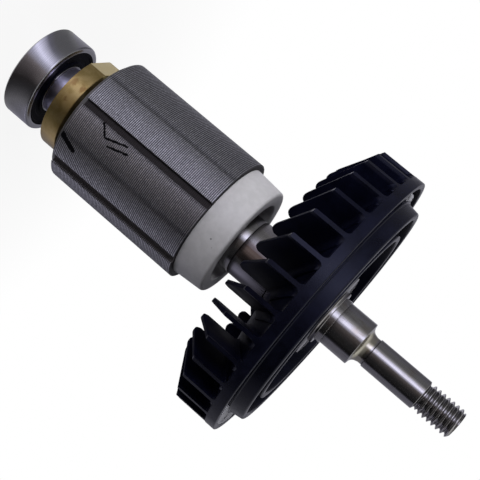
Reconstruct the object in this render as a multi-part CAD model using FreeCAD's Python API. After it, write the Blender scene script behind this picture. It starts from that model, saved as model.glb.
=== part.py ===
import FreeCAD, Part
import math
import os

V = FreeCAD.Vector

# Rear ball bearing
bearing_od = 19.0
bearing_bore = 7.0
bearing_w = 6.0
bearing_corner = 0.45
ball_d = 3.5
ball_n = 7
race_play = 0.03
inner_land_d = 10.4
outer_land_d = 15.6
seal_d = 16.7
seal_t = 0.55
seal_inset = 0.15
seal_lip_play = 0.12
seal_seat_play = 0.02
seal_groove_play = 0.1
seal_bead_w = 0.55
seal_lip_w = 0.4
seal_dish = 0.12
land_round = 0.12
bore_round = 0.27
cage_t = 0.25
cage_w = 1.3
cage_play = 0.1
rivet_d = 0.5
rivet_head_d = 0.85
rivet_head_t = 0.16

# Shaft
shaft_end_inset = 0.3
shaft_end_round = 0.3
step_round = 0.1
collar_d = 9.8
collar_end_gap = 1.1
body_d = 11.5
fan_seat_d = 9.4
journal_d = 9.0
journal_l = 6.0
journal_lead = 1.0
journal_round = 0.12
line_up = 0.1
line_w = 0.15
line_depth = 0.06
neck_l = 2.0
neck_r = 1.1
neck_face = 0.25
neck_foot = 0.15
seat_d = 6.0
seat_l = 11.6
seat_round = 0.15
relief_depth = 0.2
relief_start = 0.5
relief_end = 0.35
thread_d = 5.9
thread_root_d = 4.8
thread_l = 8.0
undercut_l = 0.5
thread_chamfer = 0.4
thread_lead = 0.2
undercut_slope = 0.12

# Brass balance ring
brass_start = 9.8
brass_d = 19.4
brass_w = 3.75
brass_round = 0.2
flat_depth = 0.75
flat_angle = -155.3

# Lamination stack, magnets and the rear end plate
core_start = 16.0
core_d = 26.2
core_l = 29.3
poles = 6
groove_angle = -92.0
groove_turn = 58.0
groove_w = 1.35
wide_groove_w = 2.2
groove_depth = 0.8
seam_w = 0.8
seam_depth = 0.15
slot_mid_r = 10.0
slot_play = 0.05
magnet_w = 8.6
magnet_t = 2.0
plate_d = 24.2
plate_t = 0.8

# Pale end ring
end_ring_d = 22.9
end_ring_foot_d = 23.9
end_ring_bore = 17.4
end_ring_l = 6.3
end_ring_web = 2.2
end_ring_round = 0.55
end_ring_bore_round = 0.2
end_ring_root = 0.4
shoulder_l = 1.1

# Fan
fan_d = 57.2
blade_n = 33
blade_t = 0.85
blade_in_r = 20.2
blade_angle = -78.9
blade_lean = 9.1
blade_tip_up = 3.65
blade_peak_up = 8.4
blade_foot = 1.6
blade_rim_foot = 0.5
blade_trim = 1.0
tip_round = 1.2
hub_rise = 9.3
dish_mid_r = 18.2
dish_mid_rise = 11.1
dish_rim_rise = 15.3
rim_l = 2.0
rim_wall = 1.2
channel_w = 2.7
channel_depth = 1.5
channel_land = 0.4
back_ring_h = 2.6
back_ring_t = 1.4
back_ring_draft = 0.4
rib_d = 37.8
rib_t = 1.2
rim_chamfer = 0.25
hub_step = 0.1
hub_root = 0.8
outer_floor = 3.0
inner_floor = 4.2

# Metal insert of the fan
insert_d = 11.6
insert_round = 0.25
insert_groove = 8.2
insert_groove_depth = 0.12
flange_d = 17.3
flange_t = 1.3
flange_up = 19.2
boss_d = 11.2
boss_h = 0.7
flange_round = 0.2
boss_root = 0.4
boss_round = 0.15

# Balancing putty in the channel of the fan
putty_angle = -1.0
putty_span = 40.0
putty_hole_d = 2.2
blob_angle = -168.0
blob_span = 13.0
blob_w = 1.3
putty_low = 0.1
putty_round = 0.1
blob_low = 0.3
blob_round = 0.4
putty_hole_floor = 0.5


def outline(points):
    """Closed wire of (r, z) points; a third number rounds that corner."""
    corners = [V(p[0], 0, p[1]) for p in points]
    rounds = [p[2] if len(p) > 2 else 0 for p in points]
    count = len(points)
    starts, ends, mids = [], [], []
    for i in range(count):
        here = corners[i]
        if not rounds[i]:
            starts.append(here)
            ends.append(here)
            mids.append(None)
            continue
        back = (corners[i - 1] - here).normalize()
        ahead = (corners[(i + 1) % count] - here).normalize()
        half = back.getAngle(ahead) / 2
        reach = rounds[i] / math.tan(half)
        middle = (back + ahead).normalize() * (rounds[i] / math.sin(half) - rounds[i])
        starts.append(here + back * reach)
        ends.append(here + ahead * reach)
        mids.append(here + middle)
    edges = []
    for i in range(count):
        if mids[i]:
            edges.append(Part.Arc(starts[i], mids[i], ends[i]).toShape())
        follow = starts[(i + 1) % count]
        if ends[i].distanceToPoint(follow) > 1e-6:
            edges.append(Part.LineSegment(ends[i], follow).toShape())
    return Part.Wire(edges)


def turned(points, angle=360.0):
    return Part.Face(outline(points)).revolve(V(0, 0, 0), V(0, 0, 1), angle)


def tube(r_in, r_out, low, high):
    outer = Part.makeCylinder(r_out, high - low, V(0, 0, low))
    return outer.cut(Part.makeCylinder(r_in, high - low + 2, V(0, 0, low - 1)))


def polar(radius, degrees, z=0.0):
    turn = math.radians(degrees)
    return V(radius * math.cos(turn), radius * math.sin(turn), z)


def spun(shape, degrees):
    copy = shape.copy()
    copy.rotate(V(0, 0, 0), V(0, 0, 1), degrees)
    return copy


def save(name, shape):
    if shape.ShapeType == "Compound" and len(shape.Solids) == 1:
        shape = shape.Solids[0]
    shape.exportStep("parts/%s.step" % name)
    print(name, len(shape.Solids), "solid(s)", round(shape.Volume, 2), "mm3", shape.isValid())


# Heights along the axis, counted from the rear face of the bearing
core_end = core_start + core_l
ring_end = core_end + end_ring_l
insert_start = ring_end + shoulder_l
hub_z = insert_start + hub_rise
dish_mid_z = insert_start + dish_mid_rise
dish_rim_z = insert_start + dish_rim_rise
rim_z = dish_rim_z + rim_l
back_z = rim_z + back_ring_h
flange_top = insert_start + flange_up
boss_top = flange_top + boss_h
journal_start = boss_top + journal_lead
journal_end = journal_start + journal_l
seat_start = journal_end + neck_l
seat_end = seat_start + seat_l
thread_start = seat_end + undercut_l
thread_end = thread_start + thread_l - undercut_l

body_r = body_d / 2
fan_r = fan_d / 2
channel_out_r = fan_r - rim_wall
channel_in_r = channel_out_r - channel_w
back_ring_foot_r = channel_in_r - channel_land
back_ring_r = back_ring_foot_r - back_ring_draft
plate_z = core_start - plate_t


def bearing_rings():
    pitch_r = (bearing_bore + bearing_od) / 4
    groove = Part.makeTorus(pitch_r, ball_d / 2 + race_play, V(0, 0, bearing_w / 2), V(0, 0, 1))
    seat_r = outer_land_d / 2
    deep = seal_t + seal_inset + seal_groove_play
    outer = turned([
        (seal_d / 2, 0), (bearing_od / 2, 0, bearing_corner),
        (bearing_od / 2, bearing_w, bearing_corner), (seal_d / 2, bearing_w),
        (seal_d / 2, bearing_w - deep), (seat_r, bearing_w - deep), (seat_r, deep), (seal_d / 2, deep)])
    inner = turned([
        (bearing_bore / 2, 0, bore_round), (inner_land_d / 2, 0, land_round),
        (inner_land_d / 2, bearing_w, land_round), (bearing_bore / 2, bearing_w, bore_round)])
    return outer.cut(groove), inner.cut(groove), pitch_r


def bearing_seal(low):
    """Rubber washer with a thin dished face, seated in the outer ring."""
    lip_r = inner_land_d / 2 + seal_lip_play
    rim_r = seal_d / 2 - seal_seat_play
    top, dish = low + seal_t, low + seal_t - seal_dish
    return turned([
        (lip_r, low), (rim_r, low), (rim_r, top), (rim_r - seal_bead_w, top),
        (rim_r - seal_bead_w - seal_dish, dish), (lip_r + seal_lip_w + seal_dish, dish),
        (lip_r + seal_lip_w, top), (lip_r, top)])


def ball_angles():
    return [360.0 * i / ball_n for i in range(ball_n)]


def balls(pitch_r):
    return Part.Compound([
        Part.makeSphere(ball_d / 2, polar(pitch_r, a, bearing_w / 2)) for a in ball_angles()])


def cage_half(pitch_r, side):
    """Pressed ribbon: flat between the balls, domed over each of them."""
    middle = bearing_w / 2
    pocket_r = ball_d / 2 + cage_play
    low, high = (middle, middle + pocket_r + 1) if side > 0 else (middle - pocket_r - 1, middle)
    band = tube(pitch_r - cage_w / 2, pitch_r + cage_w / 2, low, high)
    flat_low, flat_high = (middle, middle + cage_t) if side > 0 else (middle - cage_t, middle)
    ribbon = tube(pitch_r - cage_w / 2, pitch_r + cage_w / 2, flat_low, flat_high)
    domes = [Part.makeSphere(pocket_r + cage_t, polar(pitch_r, a, middle)) for a in ball_angles()]
    pockets = [Part.makeSphere(pocket_r, polar(pitch_r, a, middle)) for a in ball_angles()]
    ribbon = ribbon.multiFuse([d.common(band) for d in domes])
    holes = [Part.makeCylinder(rivet_d / 2, 4, polar(pitch_r, a + 180.0 / ball_n, middle - 2))
             for a in ball_angles()]
    return ribbon.cut(Part.Compound(pockets)).cut(Part.Compound(holes)).removeSplitter()


def cage_rivets(pitch_r):
    middle = bearing_w / 2
    solids = []
    head_r, head_t = rivet_head_d / 2, rivet_head_t
    for a in ball_angles():
        spot = a + 180.0 / ball_n
        stem = Part.makeCylinder(rivet_d / 2, 2 * cage_t, polar(pitch_r, spot, middle - cage_t))
        top = Part.makeCylinder(head_r, head_t, polar(pitch_r, spot, middle + cage_t))
        foot = Part.makeCylinder(head_r, head_t, polar(pitch_r, spot, middle - cage_t - head_t))
        solids.append(stem.multiFuse([top, foot]).removeSplitter())
    return Part.Compound(solids)


def shaft():
    """Stepped shaft: rear bearing seat, collar, core body, fan and bearing journal, pinion seat, thread."""
    line_z = journal_start + line_up
    seat_r, journal_r = seat_d / 2, journal_d / 2
    bead = seat_start + relief_end
    collar_end = plate_z - collar_end_gap
    return turned([
        (0, shaft_end_inset), (bearing_bore / 2, shaft_end_inset, shaft_end_round),
        (bearing_bore / 2, bearing_w),
        (collar_d / 2, bearing_w, step_round), (collar_d / 2, collar_end),
        (body_r, collar_end, step_round), (body_r, insert_start, step_round),
        (fan_seat_d / 2, insert_start), (fan_seat_d / 2, line_z), (journal_r - line_depth, line_z),
        (journal_r - line_depth, line_z + line_w), (journal_r, line_z + line_w),
        (journal_r, journal_end, journal_round), (seat_r + neck_foot, journal_end + neck_face, neck_r),
        (seat_r - relief_depth, seat_start - relief_start), (seat_r - relief_depth, bead - line_w),
        (seat_r, bead), (seat_r, seat_end, seat_round), (thread_root_d / 2, seat_end + undercut_slope),
        (thread_root_d / 2, thread_start - undercut_slope), (thread_d / 2, thread_start + thread_lead),
        (thread_d / 2, thread_end - thread_chamfer), (thread_d / 2 - thread_chamfer, thread_end),
        (0, thread_end)])


def balance_ring():
    ring = turned([
        (collar_d / 2, brass_start), (brass_d / 2, brass_start, brass_round),
        (brass_d / 2, brass_start + brass_w, brass_round), (collar_d / 2, brass_start + brass_w)])
    corner = V(brass_d / 2 - flat_depth, -brass_d / 2, brass_start)
    block = Part.makeBox(flat_depth * 2, brass_d, brass_w, corner)
    return ring.cut(spun(block, flat_angle))


def pole_angles(offset):
    return [groove_angle + offset + 360.0 * i / poles for i in range(poles)]


def core():
    """Lamination stack: two pairs of deep slots, shallow seams over the magnets, magnet pockets."""
    radius = core_d / 2
    body = tube(body_r, radius, core_start, core_end)
    cuts = []
    for turn, width in ((0, groove_w), (groove_turn, wide_groove_w)):
        corner = V(radius - groove_depth, -width / 2, core_start)
        slot = Part.makeBox(groove_depth * 2, width, core_l, corner)
        cuts.append(spun(slot, groove_angle + turn))
        cuts.append(spun(slot, groove_angle + turn + 180.0))
    half = 180.0 / poles
    for a in pole_angles(half):
        corner = V(radius - seam_depth, -seam_w / 2, core_start)
        seam = Part.makeBox(seam_depth * 3, seam_w, core_l, corner)
        cuts.append(spun(seam, a))
        wide, thick = magnet_w + 2 * slot_play, magnet_t + 2 * slot_play
        pocket = Part.makeBox(thick, wide, core_l, V(slot_mid_r - thick / 2, -wide / 2, core_start))
        cuts.append(spun(pocket, a))
    return body.cut(Part.Compound(cuts))


def magnets():
    half = 180.0 / poles
    solids = []
    for a in pole_angles(half):
        corner = V(slot_mid_r - magnet_t / 2, -magnet_w / 2, core_start)
        solids.append(spun(Part.makeBox(magnet_t, magnet_w, core_l, corner), a))
    return Part.Compound(solids)


def end_ring():
    """Pale cup-shaped ring: a web on the shaft that closes the magnet pockets, and a tapered wall."""
    foot, outer, bore = end_ring_foot_d / 2, end_ring_d / 2, end_ring_bore / 2
    web_z = core_end + end_ring_web
    return turned([
        (body_r, core_end), (foot, core_end), (outer, ring_end, end_ring_round),
        (bore, ring_end, end_ring_bore_round), (bore, web_z, end_ring_root), (body_r, web_z)])


def fan_dish():
    """Hub, dished back plate, rim, balancing channel, back ring and inner rib in one moulding."""
    insert_r = insert_d / 2
    hub_r = flange_d / 2 - hub_step
    under_flange = flange_top - flange_t
    channel_z, floor_z = rim_z - channel_depth, rim_z - inner_floor
    ring_r, ring_in = back_ring_r, back_ring_r - back_ring_t
    rib_r, rib_in = rib_d / 2, rib_d / 2 - rib_t
    points = [
        V(fan_r, 0, dish_rim_z), V(fan_r, 0, rim_z - rim_chamfer), V(fan_r - rim_chamfer, 0, rim_z),
        V(channel_out_r, 0, rim_z), V(channel_out_r, 0, channel_z), V(channel_in_r, 0, channel_z),
        V(channel_in_r, 0, rim_z), V(back_ring_foot_r, 0, rim_z), V(ring_r, 0, back_z - rim_chamfer),
        V(ring_r - rim_chamfer, 0, back_z), V(ring_in, 0, back_z), V(ring_in, 0, rim_z - outer_floor),
        V(rib_r, 0, rim_z - outer_floor), V(rib_r, 0, back_z - rim_chamfer),
        V(rib_r - rim_chamfer, 0, back_z), V(rib_in, 0, back_z), V(rib_in, 0, floor_z),
        V(hub_r + hub_root, 0, floor_z), V(hub_r, 0, floor_z + hub_root), V(hub_r, 0, under_flange),
        V(insert_r, 0, under_flange), V(insert_r, 0, hub_z)]
    edges = [Part.LineSegment(a, b).toShape() for a, b in zip(points, points[1:])]
    curve = Part.Arc(V(insert_r, 0, hub_z), V(dish_mid_r, 0, dish_mid_z), V(fan_r, 0, dish_rim_z))
    wire = Part.Wire(edges + [curve.toShape()])
    return Part.Face(wire).revolve(V(0, 0, 0), V(0, 0, 1), 360)


def blade():
    """One flat plate leaning back from its rounded inner tip to the rim."""
    inner = polar(blade_in_r, blade_angle)
    outer = polar(fan_r, blade_angle - blade_lean)
    span = inner.distanceToPoint(outer)
    tip_z = insert_start + blade_tip_up
    peak_z = insert_start + blade_peak_up
    rise = (peak_z - tip_z) / span
    reach = span + blade_trim
    face = Part.Face(outline([
        (0, tip_z, tip_round), (reach, tip_z + rise * reach), (reach, dish_rim_z + blade_rim_foot),
        (0, dish_mid_z + blade_foot)]))
    plate = face.extrude(V(0, blade_t, 0))
    plate.translate(V(0, -blade_t / 2, 0))
    along = outer - inner
    plate.rotate(V(0, 0, 0), V(0, 0, 1), math.degrees(math.atan2(along.y, along.x)))
    plate.translate(inner)
    return plate.common(Part.makeCylinder(fan_r, rim_z - insert_start, V(0, 0, insert_start)))


def fan():
    plate = blade()
    plates = [spun(plate, 360.0 * i / blade_n) for i in range(blade_n)]
    return fan_dish().multiFuse(plates).removeSplitter()


def fan_insert():
    """Metal sleeve moulded into the fan, with a flange and a low boss on its output side."""
    bore, radius = fan_seat_d / 2, insert_d / 2
    flange_r, boss_r = flange_d / 2, boss_d / 2
    mark, groove = insert_start + insert_groove, insert_groove_depth
    return turned([
        (bore, insert_start), (radius, insert_start, insert_round), (radius, mark),
        (radius - groove, mark + groove), (radius, mark + 2 * groove), (radius, flange_top - flange_t),
        (flange_r, flange_top - flange_t), (flange_r, flange_top, flange_round),
        (boss_r, flange_top, boss_root), (boss_r, boss_top, boss_round), (bore, boss_top)])


def long_putty():
    """Lump of balancing putty that fills a stretch of the channel, with a probe hole."""
    floor = rim_z - channel_depth
    lump = turned([
        (channel_in_r, floor), (channel_out_r, floor), (channel_out_r, rim_z - putty_low, putty_round),
        (channel_in_r, rim_z - putty_low, putty_round)], putty_span)
    middle = (channel_in_r + channel_out_r) / 2
    foot = polar(middle, putty_angle, floor + putty_hole_floor)
    hole = Part.makeCylinder(putty_hole_d / 2, channel_depth, foot)
    return spun(lump, putty_angle - putty_span / 2).cut(hole)


def short_putty():
    """Small lump pressed against the inner side of the channel."""
    floor = rim_z - channel_depth
    lump = turned([
        (channel_in_r, floor), (channel_in_r + blob_w, floor),
        (channel_in_r + blob_w, rim_z - blob_low, blob_round),
        (channel_in_r, rim_z - putty_low, putty_round)], blob_span)
    return spun(lump, blob_angle - blob_span / 2)


os.makedirs("parts", exist_ok=True)
outer_ring, inner_ring, pitch = bearing_rings()
save("bearing_outer_ring", outer_ring)
save("bearing_inner_ring", inner_ring)
save("bearing_balls", balls(pitch))
save("bearing_cage_front", cage_half(pitch, 1))
save("bearing_cage_rear", cage_half(pitch, -1))
save("bearing_cage_rivets", cage_rivets(pitch))
front_seal = bearing_seal(bearing_w - seal_t - seal_inset)
save("bearing_seal_front", front_seal)
save("bearing_seal_rear", front_seal.mirror(V(0, 0, bearing_w / 2), V(0, 0, 1)))
save("shaft", shaft())
save("balance_ring", balance_ring())
save("end_plate", tube(body_r, plate_d / 2, plate_z, core_start))
save("core", core())
save("magnets", magnets())
save("end_ring", end_ring())
save("fan", fan())
save("fan_insert", fan_insert())
save("putty_long", long_putty())
save("putty_short", short_putty())
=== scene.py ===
import bpy
import bmesh
import math
from mathutils import Matrix, Vector


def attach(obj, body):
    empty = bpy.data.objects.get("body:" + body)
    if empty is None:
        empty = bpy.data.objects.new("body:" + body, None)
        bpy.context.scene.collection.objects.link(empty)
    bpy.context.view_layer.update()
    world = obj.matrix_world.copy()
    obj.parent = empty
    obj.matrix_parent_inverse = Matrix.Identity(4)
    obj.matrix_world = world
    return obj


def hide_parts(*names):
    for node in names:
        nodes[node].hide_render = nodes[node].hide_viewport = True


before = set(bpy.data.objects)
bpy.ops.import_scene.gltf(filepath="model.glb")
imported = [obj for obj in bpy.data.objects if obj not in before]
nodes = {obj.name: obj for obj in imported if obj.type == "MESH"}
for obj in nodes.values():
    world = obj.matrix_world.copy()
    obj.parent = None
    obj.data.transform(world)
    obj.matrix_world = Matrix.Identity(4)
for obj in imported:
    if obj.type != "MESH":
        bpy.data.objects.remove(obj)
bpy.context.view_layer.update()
mm = 0.001   # pieces are drawn in millimetres and scaled when they are finished
print("frame loaded:", len(nodes), "nodes")


# small helpers for meshes

def faceFrom(bm, corners):
    # one face in the XZ plane; a corner is (radius, height), then its rounding and steps if it has any
    verts = [bm.verts.new((corner[0], 0, corner[1])) for corner in corners]
    bm.faces.new(verts)
    for vert, corner in zip(verts, corners):
        if len(corner) > 2:
            arms = [edge.other_vert(vert).co - vert.co for edge in vert.link_edges]
            half = arms[0].angle(arms[1]) / 2
            bmesh.ops.bevel(bm, geom=[vert], offset=corner[2] / math.tan(half), offset_type="OFFSET",
                            segments=corner[3] if len(corner) > 3 else 4, profile=0.5,
                            affect="VERTICES", material=-1)


def spinOutline(bm, steps=128):
    # turns a drawn outline once round the axis; its face and its edges on the axis go first
    bmesh.ops.delete(bm, geom=bm.faces[:], context="FACES_ONLY")
    onAxis = [e for e in bm.edges if all(abs(v.co.x) < 1e-6 for v in e.verts)]
    bmesh.ops.delete(bm, geom=onAxis, context="EDGES_FACES")
    bmesh.ops.spin(bm, geom=bm.verts[:] + bm.edges[:], cent=(0, 0, 0), axis=(0, 0, 1), dvec=(0, 0, 0),
                   angle=2 * math.pi, steps=steps, use_merge=True, use_normal_flip=False,
                   use_duplicate=False)
    bmesh.ops.remove_doubles(bm, verts=bm.verts[:], dist=1e-4)


def newObject(name, bm):
    mesh = bpy.data.meshes.new(name)
    bm.to_mesh(mesh)
    bm.free()
    item = bpy.data.objects.new(name, mesh)
    bpy.context.scene.collection.objects.link(item)
    return item


def finishPiece(bm, name, body, replaced, material, sharp=32.0):
    # edges that turn by more than these degrees stay crisp
    bmesh.ops.recalc_face_normals(bm, faces=bm.faces[:])
    bmesh.ops.scale(bm, vec=(mm, mm, mm), verts=bm.verts[:])
    piece = newObject(name, bm)
    piece.data.shade_smooth()
    piece.data.set_sharp_from_angle(angle=math.radians(sharp))
    piece.data.materials.append(material)
    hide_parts(*replaced)
    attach(piece, body)
    print("made", name, len(piece.data.polygons), "faces")


def turnPiece(name, corners, body, replaced, material, steps=128):
    bm = bmesh.new()
    faceFrom(bm, corners)
    spinOutline(bm, steps)
    finishPiece(bm, name, body, replaced, material)


# small helpers for materials

def newMaterial(name, **values):
    material = bpy.data.materials.new(name)
    material.use_nodes = True
    tree = material.node_tree
    shader = tree.nodes["Principled BSDF"]
    for key, value in values.items():
        shader.inputs[key.replace("_", " ")].default_value = value
    return material, tree, shader


def addNode(tree, kind, inputs=(), **settings):
    node = tree.nodes.new(kind)
    for key, value in settings.items():
        setattr(node, key, value)
    for key, value in dict(inputs).items():
        if isinstance(value, bpy.types.NodeSocket):
            tree.links.new(value, node.inputs[key])
        else:
            node.inputs[key].default_value = value
    return node


def calc(tree, operation, first, second=None, third=None, clamp=False):
    inputs = {0: first}
    if second is not None:
        inputs[1] = second
    if third is not None:
        inputs[2] = third
    return addNode(tree, "ShaderNodeMath", inputs, operation=operation, use_clamp=clamp).outputs[0]


def vectorCalc(tree, operation, first, second=None, scale=None, output=0):
    inputs = {0: first}
    if second is not None:
        inputs[1] = second
    if scale is not None:
        inputs["Scale"] = scale
    return addNode(tree, "ShaderNodeVectorMath", inputs, operation=operation).outputs[output]


def blendColours(tree, share, first, second):
    return addNode(tree, "ShaderNodeMix", {0: share, 6: first, 7: second}, data_type="RGBA").outputs[2]


def remap(tree, value, low, high, toLow=0.0, toHigh=1.0, smooth=True):
    # goes from toLow to toHigh as the value goes from low to high, and stays there beyond them
    return addNode(tree, "ShaderNodeMapRange", {0: value, 1: low, 2: high, 3: toLow, 4: toHigh},
                   interpolation_type="SMOOTHSTEP" if smooth else "LINEAR").outputs[0]


def grey(value, tint=(1.0, 1.0, 1.0)):
    return (value * tint[0], value * tint[1], value * tint[2], 1.0)


def aroundAxis(tree):
    # the point in mm, its distance from the axis, its angle round it in radians, and its height
    place = addNode(tree, "ShaderNodeTexCoord").outputs["Object"]
    place = vectorCalc(tree, "SCALE", place, scale=1 / mm)
    x, y, z = addNode(tree, "ShaderNodeSeparateXYZ", {0: place}).outputs
    flat = vectorCalc(tree, "MULTIPLY", place, (1.0, 1.0, 0.0))
    radius = vectorCalc(tree, "LENGTH", flat, output=1)
    return place, radius, calc(tree, "ARCTAN2", y, x), z


def towards(tree, angle, degrees):
    # 1 where the surface lies this way round the axis, -1 opposite
    return calc(tree, "COSINE", calc(tree, "SUBTRACT", angle, math.radians(degrees)))


def distanceTo(tree, angle, z, degrees, height, radius):
    # distance in mm over the surface from one spot
    sideways = calc(tree, "MULTIPLY", calc(tree, "SUBTRACT", angle, math.radians(degrees)), radius)
    upwards = calc(tree, "SUBTRACT", z, height)
    return calc(tree, "SQRT", calc(tree, "ADD", calc(tree, "MULTIPLY", sideways, sideways),
                                   calc(tree, "MULTIPLY", upwards, upwards)))


def noise(tree, vector, scale, detail=2.0, rough=0.5):
    return addNode(tree, "ShaderNodeTexNoise", {"Vector": vector, "Scale": scale, "Detail": detail,
                                                "Roughness": rough}).outputs["Fac"]


def lineNoise(tree, value, scale, detail=3.0):
    # a noise that changes with one number only, for turned and ground lines
    return addNode(tree, "ShaderNodeTexNoise", {"W": value, "Scale": scale, "Detail": detail},
                   noise_dimensions="1D").outputs["Fac"]


def addBump(tree, shader, height, strength, distance):
    bump = addNode(tree, "ShaderNodeBump", {"Height": height, "Strength": strength, "Distance": distance})
    tree.links.new(bump.outputs[0], shader.inputs["Normal"])


def glossRound(tree, shader):
    # gloss that is sharp round the axis and blurred along it, as turning leaves it
    tangent = addNode(tree, "ShaderNodeTangent", direction_type="RADIAL", axis="Z")
    tree.links.new(tangent.outputs[0], shader.inputs["Tangent"])
    shader.inputs["Anisotropic Rotation"].default_value = 0.25


# materials; the plain ones are made here, and the others together with their piece

def turnedMetal(name, colour, roughness, ringScale=8.8, stainShare=0.4, anisotropy=0.8,
                stainColour=None, bumpStrength=0.05):
    # turned or ground metal: fine rings round the axis, with faint stains over them
    values = {"slant": 0.73, "ringShare": 0.24, "stainTone": 0.72}   # the slant puts rings on flat faces too
    material, tree, shader = newMaterial(name, Metallic=1.0, Anisotropic=anisotropy)
    place, radius, _, z = aroundAxis(tree)
    along = calc(tree, "ADD", z, calc(tree, "MULTIPLY", radius, values["slant"]))
    rings = lineNoise(tree, along, ringScale)
    cloud = noise(tree, place, 0.35, 4.0)
    base = blendColours(tree, remap(tree, rings, 0.3, 0.7, 0.0, values["ringShare"]), colour, grey(0.0))
    stained = stainColour or grey(values["stainTone"], colour)
    base = blendColours(tree, remap(tree, cloud, 0.52, 0.78, 0.0, stainShare), base, stained)
    tree.links.new(base, shader.inputs["Base Color"])
    rough = remap(tree, cloud, 0.3, 0.7, roughness * 0.85, roughness * 1.2)
    tree.links.new(rough, shader.inputs["Roughness"])
    glossRound(tree, shader)
    addBump(tree, shader, rings, bumpStrength, 0.00002)
    return material, tree, shader


groundSteel = turnedMetal("groundSteel", (0.30, 0.297, 0.315, 1.0), 0.22)[0]


def shaftMaterial():
    # ground steel with lengthwise streaks, a neck tinted yellow and painted lighter as a painted highlight,
    # and a short collar painted light lilac as a painted glow of reflected light
    values = {"steel": (0.30, 0.293, 0.296, 1.0), "rough": 0.15, "ringScale": 12.0,
              "stain": (0.21, 0.175, 0.13, 1.0), "stainShare": 0.48,
              "streak": (0.13, 0.10, 0.075, 1.0), "streakScale": 16.0, "streakDraw": 0.02,
              "streakShare": 0.45,
              "neck": (0.40, 0.372, 0.29, 1.0), "neckLow": 79.75, "neckHigh": 81.5, "neckFade": 0.15,
              "neckShare": 0.65, "collar": (0.70, 0.68, 0.86, 1.0), "collarTop": 9.8, "collarRough": 0.31}
    low, high, soft = values["neckLow"], values["neckHigh"], values["neckFade"]
    material, tree, shader = turnedMetal("shaftSteel", values["steel"], values["rough"], values["ringScale"],
                                         values["stainShare"], stainColour=values["stain"],
                                         bumpStrength=0.015)
    _, _, angle, z = aroundAxis(tree)
    base = shader.inputs["Base Color"].links[0].from_socket
    along = calc(tree, "MULTIPLY", z, values["streakDraw"])
    drawn = addNode(tree, "ShaderNodeCombineXYZ", {0: angle, 2: along})
    streak = noise(tree, drawn.outputs[0], values["streakScale"], 3.0, 0.7)
    streak = remap(tree, streak, 0.52, 0.68, 0.0, values["streakShare"])
    base = blendColours(tree, streak, base, values["streak"])
    # painted highlight: the neck fillet gets a yellow tint that is also lighter than the steel, standing in
    # for the light it catches from above
    neck = calc(tree, "MULTIPLY", remap(tree, z, low - soft, low + soft),
                remap(tree, z, high + soft, high - soft))
    base = blendColours(tree, calc(tree, "MULTIPLY", neck, values["neckShare"]), base, values["neck"])
    # painted highlight: the short collar below the brass ring is painted light lilac and made rougher,
    # standing in for a glow of reflected light
    paintedGlowOnCollar = calc(tree, "LESS_THAN", z, values["collarTop"])
    base = blendColours(tree, paintedGlowOnCollar, base, values["collar"])
    tree.links.new(base, shader.inputs["Base Color"])
    rough = shader.inputs["Roughness"].links[0].from_socket
    rough = addNode(tree, "ShaderNodeMix", {0: paintedGlowOnCollar, 2: rough, 3: values["collarRough"]}).outputs[0]
    tree.links.new(rough, shader.inputs["Roughness"])
    return material


def insertMaterial():
    # turned metal with a painted reflection in bronze stripes on the side turned towards the camera, and
    # painted shade darkening the side beside it
    values = {"metal": (0.30, 0.288, 0.288, 1.0), "rough": 0.15, "ringScale": 10.0,
              "paintedReflection": (0.085, 0.055, 0.048, 1.0), "bronzeAngle": -80.0, "bronzeTop": 62.0,
              "stripeScale": 14.0, "paintedShade": (0.085, 0.082, 0.092, 1.0), "filmAngle": -22.0, "filmShare": 0.85}
    material, tree, shader = turnedMetal("insertMetal", values["metal"], values["rough"],
                                         values["ringScale"], bumpStrength=0.015)
    _, _, angle, z = aroundAxis(tree)
    base = shader.inputs["Base Color"].links[0].from_socket
    # painted reflection: bronze stripes on the side turned to the bronze angle, below the blades, stand in
    # for a reflection
    around = addNode(tree, "ShaderNodeCombineXYZ", {0: angle}).outputs[0]
    stripes = remap(tree, noise(tree, around, values["stripeScale"], 2.0, 0.6), 0.25, 0.55, 1.0, 0.6)
    facing = towards(tree, angle, values["bronzeAngle"])
    paintedReflection = calc(tree, "MULTIPLY", remap(tree, facing, 0.93, 0.97), stripes)
    paintedReflection = calc(tree, "MULTIPLY", paintedReflection, calc(tree, "LESS_THAN", z, values["bronzeTop"]))
    base = blendColours(tree, paintedReflection, base, values["paintedReflection"])
    # painted shade: the side turned to the film angle is darkened
    facing = towards(tree, angle, values["filmAngle"])
    paintedShade = remap(tree, facing, 0.74, 0.86, 0.0, values["filmShare"])
    base = blendColours(tree, paintedShade, base, values["paintedShade"])
    tree.links.new(base, shader.inputs["Base Color"])
    shader.inputs["Specular Tint"].default_value = grey(0.5)
    return material


plainSteel = turnedMetal("plainSteel", (0.35, 0.35, 0.36, 1.0), 0.2, ringScale=4.8)[0]


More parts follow.
